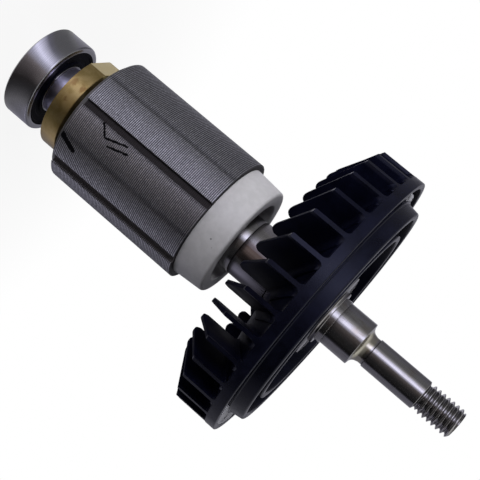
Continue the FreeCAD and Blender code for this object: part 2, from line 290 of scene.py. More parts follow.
def brassMaterial():
    # clouded brass with turning lines, brown spots and a ground flat
    values = {"base": (0.27, 0.195, 0.070, 1.0), "light": (0.35, 0.262, 0.112, 1.0), "rough": 0.38,
              "line": grey(0.12, (1.0, 0.75, 0.3)), "lineScale": 9.0, "lineShare": 0.25,
              "stain": (0.13, 0.062, 0.022, 1.0), "stainShare": 0.6, "stainRag": 0.4, "metal": 0.9,
              "flat": (0.47, 0.385, 0.18, 1.0), "flatMetal": 0.55}
    spots = [(-102.0, 10.6, 0.8), (-101.8, 12.9, 0.6), (-83.5, 11.5, 0.5)]   # degrees, height, size
    material, tree, shader = newMaterial("brass", Anisotropic=0.6)
    place, radius, angle, z = aroundAxis(tree)
    cloud = noise(tree, place, 0.55, 5.0, 0.6)
    lines = lineNoise(tree, z, values["lineScale"])
    base = blendColours(tree, remap(tree, cloud, 0.35, 0.65), values["base"], values["light"])
    base = blendColours(tree, remap(tree, lines, 0.35, 0.7, 0.0, values["lineShare"]), base, values["line"])
    ragged = remap(tree, noise(tree, place, 1.1, 3.0), 0.3, 0.7, -values["stainRag"], values["stainRag"])
    for degrees, height, size in spots:
        away = calc(tree, "ADD", distanceTo(tree, angle, z, degrees, height, ring["outer"]), ragged)
        spot = remap(tree, away, size * 1.5, size * 0.1, 0.0, values["stainShare"])
        base = blendColours(tree, spot, base, values["stain"])
    # the ground flat is paler and duller than the turned side
    flat = calc(tree, "MULTIPLY", remap(tree, radius, ring["outer"] - 0.02, ring["outer"] - 0.06),
                calc(tree, "GREATER_THAN", towards(tree, angle, ring["flatAngle"]), 0.9))
    offBore = calc(tree, "GREATER_THAN", radius, ring["outer"] - ring["flatDepth"] - 0.05)
    flat = calc(tree, "MULTIPLY", flat, offBore)
    base = blendColours(tree, flat, base, values["flat"])
    tree.links.new(base, shader.inputs["Base Color"])
    metal = remap(tree, flat, 0.0, 1.0, values["metal"], values["flatMetal"], False)
    tree.links.new(metal, shader.inputs["Metallic"])
    rough = remap(tree, cloud, 0.3, 0.7, values["rough"] * 0.85, values["rough"] * 1.2)
    tree.links.new(rough, shader.inputs["Roughness"])
    glossRound(tree, shader)
    addBump(tree, shader, lines, 0.1, 0.00002)
    return material


def toSegment(tree, point, start, end):
    # distance from the unrolled point to one short line
    span = Vector((end[0] - start[0], end[1] - start[1], 0.0))
    offset = vectorCalc(tree, "SUBTRACT", point, (start[0], start[1], 0.0))
    share = vectorCalc(tree, "DOT_PRODUCT", offset, tuple(span), output=1)
    share = calc(tree, "MULTIPLY", share, 1.0 / span.length_squared, clamp=True)
    foot = vectorCalc(tree, "SCALE", tuple(span), scale=share)
    return vectorCalc(tree, "LENGTH", vectorCalc(tree, "SUBTRACT", offset, foot), output=1)


def coreMaterial():
    # sheet edges with dark gaps between them, specks of bare steel, soft seams, painted shade beside the
    # narrow slot, and lacquered slots whose wide ones are painted lighter
    values = {"sheet": (0.31, 0.307, 0.32, 1.0), "sheetShare": 0.35, "gap": (0.035, 0.035, 0.04, 1.0),
              "seamReach": 0.065, "seamShare": 0.5, "seamRag": 0.008, "slotSide": 3.6,
              "slotSideReach": 0.035, "slot": (0.034, 0.030, 0.034, 1.0),
              "wideSlot": (0.075, 0.067, 0.073, 1.0), "slotTop": 0.22, "slotFade": 0.12,
              "ink": (0.002, 0.002, 0.003, 1.0), "inkRag": 0.07, "inkFade": 0.06}
    # marker strokes as start, end and half the width; start and end are (degrees, height)
    strokes = [((-60.4, 16.2), (-54.6, 19.3), 0.52), ((-88.4, 21.4), (-79.9, 23.2), 0.21),
               ((-79.9, 23.2), (-85.9, 27.4), 0.21), ((-75.9, 24.4), (-80.9, 28.2), 0.21)]
    # soft dark lines on the core: a seam over each magnet pocket, and a band of painted shade along one side
    # of the narrow slot
    seamsAndSlotShade = [(core["turn"] + 30 + 60 * pole, values["seamReach"]) for pole in range(core["poles"])]
    seamsAndSlotShade.append((core["turn"] + values["slotSide"], values["slotSideReach"]))
    material, tree, shader = newMaterial("coreSheets", Specular_Tint=grey(0.7))
    place, radius, angle, z = aroundAxis(tree)
    pitch = (core["end"] - core["start"]) / core["sheets"]
    count = calc(tree, "DIVIDE", calc(tree, "SUBTRACT", z, core["start"]), pitch)
    fromMiddle = calc(tree, "ABSOLUTE", calc(tree, "SUBTRACT", calc(tree, "FRACT", count), 0.5))
    sheetTone = addNode(tree, "ShaderNodeTexWhiteNoise", {"W": calc(tree, "FLOOR", count)},
                        noise_dimensions="1D").outputs[0]
    sheetTone = remap(tree, sheetTone, 0.0, 1.0, 0.0, values["sheetShare"], False)
    cloud = noise(tree, place, 0.3, 4.0)
    speck = noise(tree, vectorCalc(tree, "MULTIPLY", place, (1.0, 1.0, 1.6)), 3.0, 3.0, 0.75)
    base = blendColours(tree, sheetTone, values["sheet"], grey(0.2))
    base = blendColours(tree, remap(tree, speck, 0.53, 0.66, 0.0, 0.7), base, grey(0.60))
    base = blendColours(tree, remap(tree, speck, 0.47, 0.32, 0.0, 0.45), base, grey(0.12))
    ragged = remap(tree, speck, 0.3, 0.7, -values["seamRag"], values["seamRag"])
    for degrees, reach in seamsAndSlotShade:
        away = calc(tree, "ADD", calc(tree, "ARCCOSINE", towards(tree, angle, degrees)), ragged)
        seam = remap(tree, away, reach, 0.010, 0.0, values["seamShare"])
        base = blendColours(tree, seam, base, grey(0.05))
    base = blendColours(tree, remap(tree, fromMiddle, 0.18, 0.40), base, values["gap"])
    base = blendColours(tree, remap(tree, cloud, 0.45, 0.75, 0.0, 0.3), base, grey(0.2, (1.0, 0.97, 1.0)))
    # painted light: the floors of the wide slots are painted lighter, for the light that reaches into them
    slotTop = core["radius"] - values["slotTop"]
    deep = remap(tree, radius, slotTop, slotTop - values["slotFade"])
    across = calc(tree, "ABSOLUTE", towards(tree, angle, core["turn"] + core["slots"][1][0]))
    floorTone = blendColours(tree, remap(tree, across, 0.98, 0.99), values["slot"], values["wideSlot"])
    floorTone = blendColours(tree, remap(tree, fromMiddle, 0.26, 0.46, 0.0, 0.6), floorTone, grey(0.004))
    base = blendColours(tree, deep, base, floorTone)
    unroll = math.radians(core["radius"])
    arc = calc(tree, "MULTIPLY", angle, core["radius"])
    point = addNode(tree, "ShaderNodeCombineXYZ", {0: arc, 1: z}).outputs[0]
    wobble = remap(tree, noise(tree, place, 1.3), 0.3, 0.7, -values["inkRag"], values["inkRag"])
    ink = 0.0
    for start, end, half in strokes:
        away = toSegment(tree, point, (start[0] * unroll, start[1]), (end[0] * unroll, end[1]))
        away = calc(tree, "ADD", away, wobble)
        mark = remap(tree, away, half + values["inkFade"], half - values["inkFade"])
        ink = calc(tree, "MAXIMUM", mark, ink)
    base = blendColours(tree, ink, base, values["ink"])
    tree.links.new(base, shader.inputs["Base Color"])
    bare = calc(tree, "SUBTRACT", 1.0, calc(tree, "MAXIMUM", ink, deep))
    tree.links.new(bare, shader.inputs["Metallic"])
    tree.links.new(remap(tree, speck, 0.3, 0.7, 0.58, 0.44), shader.inputs["Roughness"])
    tree.links.new(remap(tree, bare, 0.0, 1.0, 0.06, 0.5, False), shader.inputs["Specular IOR Level"])
    addBump(tree, shader, speck, 0.15, 0.00003)
    return material


def mattMaterial(name, colour, other, roughness, scale=0.8, bumpStrength=0.1, pits=(), grainShare=0.12,
                 gloss=0.5):
    # moulded or pressed matt finish with a fine grain; pits are (degrees, height, size, radius)
    material, tree, shader = newMaterial(name, Specular_IOR_Level=gloss)
    place, _, angle, z = aroundAxis(tree)
    cloud = noise(tree, place, scale, 4.0, 0.55)
    grain = noise(tree, place, 7.0, rough=0.6)
    base = blendColours(tree, remap(tree, cloud, 0.35, 0.7), colour, other)
    base = blendColours(tree, remap(tree, grain, 0.6, 0.8, 0.0, grainShare), base, grey(0.2))
    for degrees, height, size, reach in pits:
        away = distanceTo(tree, angle, z, degrees, height, reach)
        base = blendColours(tree, remap(tree, away, size, size * 0.4, 0.0, 0.8), base, grey(0.06))
    tree.links.new(base, shader.inputs["Base Color"])
    tree.links.new(remap(tree, cloud, 0.3, 0.7, roughness * 0.9, roughness * 1.1),
                   shader.inputs["Roughness"])
    addBump(tree, shader, grain, bumpStrength, 0.00004)
    return material


paleRing = mattMaterial("paleRing", (0.44, 0.432, 0.457, 1.0), (0.49, 0.481, 0.508, 1.0), 0.5,
                        pits=[(-72.2, 48.8, 0.22, 11.6), (-66.4, 49.8, 0.1, 11.5)])
# painted shade: the rear plate is coloured near black, standing in for the shade in the gap between the
# brass ring and the core
paintedShadePlate = mattMaterial("paintedShadePlate", (0.05, 0.048, 0.05, 1.0), (0.08, 0.075, 0.075, 1.0), 0.5)
sealRubber = mattMaterial("sealRubber", (0.002, 0.002, 0.0045, 1.0), (0.004, 0.0042, 0.009, 1.0), 0.3,
                          grainShare=0.0, gloss=0.008)
# painted light: the putty's grey is lightened and tinted lilac to make up for the shade it sits in
putty = mattMaterial("putty", (0.40, 0.40, 0.445, 1.0), (0.54, 0.54, 0.595, 1.0), 0.5, 1.4, 0.5)
magnetMetal = turnedMetal("magnetMetal", (0.42, 0.42, 0.43, 1.0), 0.35, anisotropy=0.0)[0]


print("plain materials made")


def fanMaterial():
    # glossy black moulding that is duller between its blades
    values = {"dark": (0.0012, 0.0014, 0.0050, 1.0), "worn": (0.0026, 0.0030, 0.0098, 1.0), "rough": 0.3,
              "grainRough": 0.06, "innerRough": 0.12, "tint": (0.72, 0.76, 1.0, 1.0), "gloss": 0.2,
              "innerGloss": 0.02, "innerRadius": (28.3, 27.9), "innerHeight": (68.4, 67.4)}
    material, tree, shader = newMaterial("fanBlack", IOR=1.45, Specular_Tint=values["tint"])
    place, radius, _, z = aroundAxis(tree)
    cloud = noise(tree, place, 0.22, 4.0, 0.6)
    grain = noise(tree, place, 5.0, 2.0, 0.6)
    base = blendColours(tree, remap(tree, cloud, 0.35, 0.7), values["dark"], values["worn"])
    tree.links.new(base, shader.inputs["Base Color"])
    inner = calc(tree, "MULTIPLY", remap(tree, radius, *values["innerRadius"]),
                 remap(tree, z, *values["innerHeight"]))
    gloss = remap(tree, inner, 0.0, 1.0, values["gloss"], values["innerGloss"], False)
    tree.links.new(gloss, shader.inputs["Specular IOR Level"])
    rough = calc(tree, "ADD", remap(tree, cloud, 0.3, 0.7, values["rough"] * 0.8, values["rough"] * 1.25),
                 remap(tree, grain, 0.4, 0.7, 0.0, values["grainRough"]))
    rough = calc(tree, "ADD", rough, calc(tree, "MULTIPLY", inner, values["innerRough"]))
    tree.links.new(rough, shader.inputs["Roughness"])
    addBump(tree, shader, grain, 0.04, 0.00003)
    return material


# rear bearing: outer ring and two seals; what they hide keeps its own meshes

bearing = {"radius": 9.5, "width": 6.0, "corner": 0.45, "innerCorner": 0.03, "sealRadius": 8.35,
           "land": 7.8, "deep": 0.8, "innerLand": 5.2, "steps": 160}
# the seal's section: widths from its outer edge or its lip, depths from its face
seal = {"thick": 0.55, "inset": 0.15, "lipPlay": 0.12, "edgePlay": 0.02, "dish": 0.14, "floor": 0.06,
        "edgeFlat": 0.45, "edgeSlope": 0.6, "dishEnd": 1.5, "floorStart": 1.62, "lipSlope": 0.75,
        "lipFlat": 0.55}


def bearingPieces():
    b, s = bearing, seal
    width, rim, deep = b["width"], b["sealRadius"], b["deep"]
    turnPiece("bearingRing", [
        (rim, 0, b["innerCorner"]), (b["radius"], 0, b["corner"]), (b["radius"], width, b["corner"]),
        (rim, width, b["innerCorner"]), (rim, width - deep), (b["land"], width - deep),
        (b["land"], deep), (rim, deep)],
        "bearing_outer", ["bearing_outer_ring"], groundSteel, b["steps"])
    lip = b["innerLand"] + s["lipPlay"]
    edge = rim - s["edgePlay"]
    for name, node, top, up in (("frontSeal", "bearing_seal_front", width - s["inset"], 1),
                                ("rearSeal", "bearing_seal_rear", s["inset"], -1)):
        foot = top - s["thick"] * up
        dish = top - s["dish"] * up
        floor = dish - s["floor"] * up
        turnPiece(name, [
            (lip, foot), (edge, foot), (edge, top, 0.06), (edge - s["edgeFlat"], top, 0.06),
            (edge - s["edgeSlope"], dish, 0.05), (edge - s["dishEnd"], dish, 0.05),
            (edge - s["floorStart"], floor, 0.03), (lip + s["lipSlope"], floor, 0.05),
            (lip + s["lipFlat"], top, 0.06), (lip, top, 0.05)],
            "bearing_outer", [node], sealRubber)


# shaft with its thread

shaft = {"rear": 3.5, "rearInset": 0.3, "collar": 4.9, "collarStart": 6.0, "collarEdge": 0.12,
         "collarEnd": 14.1, "body": 5.75, "bodyEnd": 52.7, "bodyEdge": 0.1, "fanSeat": 4.7,
         "journal": 4.5, "line": 73.7, "lineDeep": 0.06, "lineSteps": (0.03, 0.12, 0.16),
         "journalEnd": 79.6, "journalEdge": 0.14, "neckOut": 0.15, "neckUp": 0.25, "neckRound": 1.1,
         "seat": 3.0, "relief": 2.8, "reliefSteps": (-0.5, 0.2, 0.35), "seatStart": 81.6,
         "seatEnd": 93.2, "threadStart": 93.7, "threadEnd": 101.2, "tip": 2.4, "steps": 112}
thread = {"pitch": 1.0, "crest": 2.95, "root": 2.36, "crestFlat": 0.1, "rootFlat": 0.08, "rows": 165,
          "phase": 0.408, "chamfer": 0.45, "soft": 0.4, "runOut": 0.9}


def cutThread(bm):
    # draws the vertices of the plain threaded length in to a helical thread
    start, end = shaft["threadStart"], shaft["threadEnd"]
    for vert in bm.verts:
        radius = math.hypot(vert.co.x, vert.co.y)
        if radius < thread["crest"] - 0.02 or not start - 0.01 < vert.co.z < end - 0.01:
            continue
        turn = math.atan2(vert.co.y, vert.co.x) / (2 * math.pi)
        cycle = ((vert.co.z - start) / thread["pitch"] - turn + thread["phase"]) % 1.0
        flank = 1.0 - abs(2.0 * cycle - 1.0)
        flank = (flank - thread["rootFlat"]) / (1.0 - thread["rootFlat"] - thread["crestFlat"])
        flank = min(1.0, max(0.0, flank))
        rounded = flank * flank * (3.0 - 2.0 * flank)
        flank += thread["soft"] * (rounded - flank)
        new = thread["root"] + (thread["crest"] - thread["root"]) * flank
        new = min(new, thread["crest"] - max(0.0, thread["chamfer"] - (end - vert.co.z)))
        new = min(new, thread["root"] + thread["runOut"] * max(0.0, vert.co.z - start + 0.1))
        vert.co.x *= new / radius
        vert.co.y *= new / radius


def shaftPiece():
    s = shaft
    crest, root = thread["crest"], thread["root"]
    groove = s["journal"] - s["lineDeep"]
    grooveLow, grooveHigh, grooveTop = (s["line"] + up for up in s["lineSteps"])
    reliefLow, reliefHigh, seatLow = (s["seatStart"] + up for up in s["reliefSteps"])
    bm = bmesh.new()
    faceFrom(bm, [
        (0, s["rearInset"]), (s["rear"], s["rearInset"], 0.3), (s["rear"], s["collarStart"]),
        (s["collar"], s["collarStart"], s["collarEdge"]), (s["collar"], s["collarEnd"]),
        (s["body"], s["collarEnd"], s["bodyEdge"]), (s["body"], s["bodyEnd"], s["bodyEdge"]),
        (s["fanSeat"], s["bodyEnd"]), (s["fanSeat"], s["line"], 0.06), (groove, grooveLow),
        (groove, grooveHigh), (s["journal"], grooveTop), (s["journal"], s["journalEnd"], s["journalEdge"]),
        (s["seat"] + s["neckOut"], s["journalEnd"] + s["neckUp"], s["neckRound"], 8),
        (s["relief"], reliefLow, 0.2), (s["relief"], reliefHigh), (s["seat"], seatLow, 0.05),
        (s["seat"], s["seatEnd"], 0.15), (root, s["seatEnd"] + 0.3, 0.1), (root, s["threadStart"] - 0.02),
        (crest, s["threadStart"]), (crest, s["threadEnd"] - 0.02), (s["tip"], s["threadEnd"]),
        (0, s["threadEnd"])])
    threaded = [e for e in bm.edges if all(v.co.x > crest - 0.01 and v.co.z > s["threadStart"] - 0.001
                                           for v in e.verts)]
    bmesh.ops.subdivide_edges(bm, edges=threaded, cuts=thread["rows"])
    spinOutline(bm, s["steps"])
    cutThread(bm)
    finishPiece(bm, "turnedShaft", "rotor", ["shaft"], shaftMaterial(), 40)


# brass ring with its flat

ring = {"inner": 4.9, "outer": 9.7, "start": 9.8, "end": 13.55, "edge": 0.2, "boreEdge": 0.1,
        "flatDepth": 0.75, "flatAngle": -155.3, "steps": 160}


def brassRing():
    bm = bmesh.new()
    faceFrom(bm, [(ring["inner"], ring["start"], ring["boreEdge"]),
                  (ring["outer"], ring["start"], ring["edge"]),
                  (ring["outer"], ring["end"], ring["edge"]),
                  (ring["inner"], ring["end"], ring["boreEdge"])])
    spinOutline(bm, ring["steps"])
    turn = math.radians(ring["flatAngle"])
    outwards = Vector((math.cos(turn), math.sin(turn), 0))
    cut = bmesh.ops.bisect_plane(bm, geom=bm.verts[:] + bm.edges[:] + bm.faces[:], dist=1e-5,
                                 plane_co=outwards * (ring["outer"] - ring["flatDepth"]),
                                 plane_no=outwards, clear_outer=True)
    edges = [item for item in cut["geom_cut"] if isinstance(item, bmesh.types.BMEdge)]
    bmesh.ops.holes_fill(bm, edges=edges, sides=0)
    finishPiece(bm, "brassRing", "rotor", ["balance_ring"], brassMaterial(), 18)


# laminated core; slots are (degrees, width), and their degrees count from the turn

core = {"radius": 13.1, "bore": 5.75, "start": 16.0, "end": 45.3, "poles": 6, "turn": -92.0,
        "slots": ((0, 1.35), (58, 2.2), (180, 1.35), (238, 2.2)), "slotDeep": 0.8, "slotLead": 0.35,
        "slotEdge": 0.08, "slotFoot": 0.15, "dentHalf": 3.0, "dentDeep": 0.06, "arcStep": 3.5,
        "sheets": 84, "gapDeep": 0.035, "gapShare": 0.2, "pocketRadius": 10.0, "pocketWide": 8.7,
        "pocketThick": 2.1}


def sheetOutline(bm):
    # the sheet's edge all the way round: square slots, soft dents, and arcs between them
    radius = core["radius"]
    floor = radius - core["slotDeep"]
    parts = []
    for middle, wide in core["slots"]:
        half = math.degrees(wide / 2 / radius)
        side = [(half + core["slotLead"], radius), (half, radius - core["slotEdge"]),
                (half, floor + core["slotFoot"]), (half * 0.75, floor)]
        parts.append((middle, half + core["slotLead"], side))
    for middle in (30 + 60 * pole for pole in range(core["poles"])):
        reach = core["dentHalf"]
        side = [(reach * (1 - i / 3), radius - core["dentDeep"] * (1 - math.cos(math.pi * i / 3)) / 2)
                for i in range(4)]
        parts.append((middle, reach, side))
    parts.sort()
    points = []
    for index, (middle, reach, side) in enumerate(parts):
        points += [(middle - away, r) for away, r in side]
        points += [(middle + away, r) for away, r in reversed(side) if away > 0]
        follow = parts[(index + 1) % len(parts)]
        start = middle + reach
        end = follow[0] + (0 if index + 1 < len(parts) else 360) - follow[1]
        steps = max(1, round((end - start) / core["arcStep"]))
        points += [(start + (end - start) * i / steps, radius) for i in range(1, steps)]
    verts = []
    for degrees, r in points:
        turn = math.radians(core["turn"] + degrees)
        verts.append(bm.verts.new((r * math.cos(turn), r * math.sin(turn), 0)))
    for pair in zip(verts, verts[1:] + verts[:1]):
        bm.edges.new(pair)


def pullUp(bm, edges, up, scale=1.0):
    # draws edges up into walls, and in or out by the scale; returns the walls' top edges
    made = bmesh.ops.extrude_edge_only(bm, edges=edges)["geom"]
    verts = [item for item in made if isinstance(item, bmesh.types.BMVert)]
    bmesh.ops.translate(bm, vec=(0, 0, up), verts=verts)
    if scale != 1.0:
        bmesh.ops.scale(bm, vec=(scale, scale, 1), verts=verts)
    return [item for item in made if isinstance(item, bmesh.types.BMEdge)]


def corePiece():
    bm = bmesh.new()
    sheetOutline(bm)
    outer = bm.edges[:]
    bmesh.ops.create_circle(bm, radius=core["bore"], segments=64)
    for pole in range(core["poles"]):
        made = bmesh.ops.create_grid(bm, x_segments=1, y_segments=1, size=0.5)["verts"]
        bmesh.ops.delete(bm, geom=list({f for v in made for f in v.link_faces}), context="FACES_ONLY")
        turn = math.radians(core["turn"] + 30 + 60 * pole)
        place = Matrix.Rotation(turn, 4, "Z") @ Matrix.Translation((core["pocketRadius"], 0, 0))
        place = place @ Matrix.Diagonal((core["pocketThick"], core["pocketWide"], 1, 1))
        bmesh.ops.transform(bm, matrix=place, verts=made)
    bmesh.ops.translate(bm, vec=(0, 0, core["start"]), verts=bm.verts[:])
    allEdges = bm.edges[:]
    inner = [e for e in allEdges if e not in set(outer)]
    bmesh.ops.triangle_fill(bm, use_beauty=True, use_dissolve=False, edges=allEdges)
    height = core["end"] - core["start"]
    pitch = height / core["sheets"]
    gap = core["gapShare"] * pitch
    small = (core["radius"] - core["gapDeep"]) / core["radius"]
    top = pullUp(bm, outer, pitch - gap)
    for _ in range(1, core["sheets"]):
        top = pullUp(bm, top, gap / 2, small)
        top = pullUp(bm, top, gap / 2, 1 / small)
        top = pullUp(bm, top, pitch - gap)
    top = pullUp(bm, top, gap)   # the last sheet has no gap above it
    innerTop = pullUp(bm, inner, height)
    bmesh.ops.triangle_fill(bm, use_beauty=True, use_dissolve=False, edges=top + innerTop)
    finishPiece(bm, "laminatedCore", "rotor", ["core"], coreMaterial(), 25)


# rear plate and the pale ring

plate = {"inner": 5.75, "radius": 12.1, "low": 15.2, "high": 16.0, "edge": 0.12}
pale = {"inner": 5.75, "foot": 11.95, "footEdge": 0.12, "radius": 11.45, "edge": 0.55, "bore": 8.7,
        "boreEdge": 0.2, "start": 45.3, "end": 51.6, "web": 47.5, "webRound": 0.4, "steps": 160}


def platePieces():
    p, q = plate, pale
    turnPiece("rearPlate", [
        (p["inner"], p["low"]), (p["radius"], p["low"], p["edge"]), (p["radius"], p["high"], p["edge"]),
        (p["inner"], p["high"])], "rotor", ["end_plate"], paintedShadePlate)
    turnPiece("paleEndRing", [
        (q["inner"], q["start"]), (q["foot"], q["start"], q["footEdge"]),
        (q["radius"], q["end"], q["edge"], 6), (q["bore"], q["end"], q["boreEdge"]),
        (q["bore"], q["web"], q["webRound"]), (q["inner"], q["web"])],
        "rotor", ["end_ring"], paleRing, q["steps"])


# fan

fan = {"radius": 28.6, "blades": 33, "thick": 0.85, "innerRadius": 20.2, "angle": -78.9, "lean": 9.1,
       "tip": 56.35, "peak": 61.1, "tipRound": 1.2, "edge": 0.12, "fillet": 1.1, "rim": 70.0,
       "rimLow": 68.0, "channel": (24.7, 27.4), "channelDeep": 1.5, "back": 72.6, "ring": (22.5, 23.9, 24.3),
       "rib": (17.7, 18.9), "outerFloor": 67.0, "innerFloor": 65.8, "hub": 8.55, "insert": 5.8,
       "underFlange": 70.6, "hubLow": 62.0, "dishSlope": 0.00447, "dishCurve": 0.011346, "pastRim": 0.4,
       "sunkOuter": 1.0, "sunkInner": 1.2, "rimPlay": 0.015, "filletSteps": 6, "filletStart": 0.15,
       "filletSunk": 0.4, "filletLap": 0.03, "steps": 198}


def dishHeight(radius):
    # the hollow underside of the dish, from the hub to the rim
    out = radius - fan["insert"]
    return fan["hubLow"] + fan["dishSlope"] * out + fan["dishCurve"] * out * out


def fanDish(bm):
    f = fan
    channelIn, channelOut = f["channel"]
    ringIn, ringOut, ringFoot = f["ring"]
    ribIn, ribOut = f["rib"]
    under = [f["insert"] + (f["radius"] - f["insert"]) * i / 14.0 for i in range(14)]
    corners = [(r, dishHeight(r)) for r in under] + [(f["radius"], f["rimLow"])]
    corners += [
        (f["radius"], f["rim"], 0.22), (channelOut, f["rim"], 0.12),
        (channelOut, f["rim"] - f["channelDeep"], 0.15), (channelIn, f["rim"] - f["channelDeep"], 0.15),
        (channelIn, f["rim"], 0.12), (ringFoot, f["rim"], 0.15), (ringOut, f["back"], 0.42, 6),
        (ringIn, f["back"], 0.3), (ringIn, f["outerFloor"], 0.3), (ribOut, f["outerFloor"], 0.3),
        (ribOut, f["back"], 0.25), (ribIn, f["back"], 0.25), (ribIn, f["innerFloor"], 0.3),
        (f["hub"], f["innerFloor"], 0.8), (f["hub"], f["underFlange"]), (f["insert"], f["underFlange"])]
    faceFrom(bm, corners)
    spinOutline(bm, f["steps"])


def bladePlate(bm, reach, rise):
    # a flat plate that stands on the blade's line, with its free edges eased
    f = fan
    inside = dishHeight(f["innerRadius"]) + f["sunkInner"]
    faceFrom(bm, [(0, f["tip"], f["tipRound"], 6), (reach, f["tip"] + rise * reach),
                  (reach, f["rimLow"] + f["sunkOuter"]), (0, inside)])
    made = bmesh.ops.extrude_face_region(bm, geom=bm.faces[:])["geom"]
    moved = [item for item in made if isinstance(item, bmesh.types.BMVert)]
    bmesh.ops.translate(bm, vec=(0, f["thick"], 0), verts=moved)
    bmesh.ops.translate(bm, vec=(0, -f["thick"] / 2, 0), verts=bm.verts[:])
    free = [e for e in bm.edges if all(v.co.z < f["tip"] + rise * v.co.x + 1.3 for v in e.verts) or
            all(v.co.x < 0.01 for v in e.verts)]
    free = [e for e in free if len(e.link_faces) == 2 and e.calc_face_angle(0) > 0.9]
    bmesh.ops.bevel(bm, geom=free, offset=f["edge"], offset_type="OFFSET", segments=2, profile=0.5,
                    affect="EDGES", material=-1)


def bladeFillets(bm, inner, along, reach):
    # the fillets at the blade's foot, drawn out along the hollow of the dish and hung below it
    f = fan
    half, fillet, sunk = f["thick"] / 2, f["fillet"], f["filletSunk"]
    side = [(half + fillet - fillet * math.sin(a), fillet - fillet * math.cos(a))
            for a in (math.radians(90 * i / 6) for i in range(7))]
    section = [(half + fillet, -sunk)] + side + [(-y, z) for y, z in reversed(side)]
    section.append((-half - fillet, -sunk))
    row = [bm.verts.new((f["filletStart"], y, z)) for y, z in section]
    face = bm.faces.new(row)
    rows = [row]
    for _ in range(f["filletSteps"]):
        made = bmesh.ops.extrude_face_region(bm, geom=[face])["geom"]
        row = [item for item in made if isinstance(item, bmesh.types.BMVert)]
        face = [item for item in made if isinstance(item, bmesh.types.BMFace)][0]
        bmesh.ops.translate(bm, vec=((reach - f["filletStart"]) / f["filletSteps"], 0, 0), verts=row)
        rows.append(row)
    for row in rows:
        point = inner + along.normalized() * row[0].co.x
        height = dishHeight(point.length) - f["filletLap"]
        for vert in row:
            vert.co.z = height - vert.co.z


def oneBlade(bm):
    f = fan
    inner = Vector((f["innerRadius"], 0, 0))
    turn = math.radians(-f["lean"])
    along = Vector((f["radius"] * math.cos(turn), f["radius"] * math.sin(turn), 0)) - inner
    reach = along.length + f["pastRim"]
    bladePlate(bm, reach, (f["peak"] - f["tip"]) / along.length)
    bladeFillets(bm, inner, along, reach)
    turn = Matrix.Rotation(math.atan2(along.y, along.x), 4, "Z")
    bmesh.ops.transform(bm, matrix=Matrix.Translation(inner) @ turn, verts=bm.verts[:])
    limit = f["radius"] - f["rimPlay"]
    for vert in bm.verts:
        radius = math.hypot(vert.co.x, vert.co.y)
        if radius > limit:
            vert.co.x *= limit / radius
            vert.co.y *= limit / radius
    bmesh.ops.rotate(bm, cent=(0, 0, 0), matrix=Matrix.Rotation(math.radians(f["angle"]), 3, "Z"),
                     verts=bm.verts[:])


def fanPiece():
    bm = bmesh.new()
    oneBlade(bm)
    copies = fan["blades"] - 1
    bmesh.ops.spin(bm, geom=bm.verts[:] + bm.edges[:] + bm.faces[:], cent=(0, 0, 0), axis=(0, 0, 1),
                   dvec=(0, 0, 0), angle=2 * math.pi * copies / fan["blades"], steps=copies,
                   use_duplicate=True)
    dish = bmesh.new()
    fanDish(dish)
    spare = bpy.data.meshes.new("spare")
    dish.to_mesh(spare)
    dish.free()
    bm.from_mesh(spare)
    bpy.data.meshes.remove(spare)
    finishPiece(bm, "bladedFan", "rotor", ["fan"], fanMaterial())


# metal insert of the fan

insert = {"bore": 4.7, "radius": 5.8, "start": 52.7, "startEdge": 0.12, "mark": 60.9, "markDeep": 0.12,
          "flange": 8.65, "flangeLow": 70.6, "flangeTop": 71.9, "flangeEdge": 0.1, "flangeRound": 0.2,
          "boss": 5.6, "bossTop": 72.6, "bossFoot": 0.4, "bossEdge": 0.15}


def insertPiece():
    i = insert
    turnPiece("fanInsert", [
        (i["bore"], i["start"]), (i["radius"], i["start"], i["startEdge"]), (i["radius"], i["mark"]),
        (i["radius"] - i["markDeep"], i["mark"] + i["markDeep"]),
        (i["radius"], i["mark"] + 2 * i["markDeep"]), (i["radius"], i["flangeLow"]),
        (i["flange"], i["flangeLow"], i["flangeEdge"]), (i["flange"], i["flangeTop"], i["flangeRound"]),
        (i["boss"], i["flangeTop"], i["bossFoot"]), (i["boss"], i["bossTop"], i["bossEdge"]),
        (i["bore"], i["bossTop"])], "rotor", ["fan_insert"], insertMaterial())


bearingPieces()
shaftPiece()
brassRing()
corePiece()
platePieces()
fanPiece()
insertPiece()

# the nodes that keep their own meshes
carried = {"bearing_inner_ring": groundSteel, "bearing_balls": plainSteel, "bearing_cage_front": plainSteel,
           "bearing_cage_rear": plainSteel, "bearing_cage_rivets": plainSteel, "magnets": magnetMetal,
           "putty_long": putty, "putty_short": putty}
for name, material in carried.items():
    nodes[name].data.materials.clear()
    nodes[name].data.materials.append(material)
print("pieces made")


# floor, light and camera, in metres

studio = {"floorRadius": 6.0, "floorTone": 0.80, "grainTone": 0.02, "nearFloor": 0.015, "farFloor": 0.10,
          "nearGlow": 0.90, "ambient": 0.11}
tent = {"start": 0.0090, "corner": 0.62, "wall": 0.70, "low": 0.0003, "wallLow": 0.08, "high": 0.9,
        "peak": 3.2, "nearBlend": (0.018, 0.05), "farBlend": (0.24, 0.31), "topBlend": (0.35, 0.75),
        "topShare": 0.8, "topTone": 0.25}
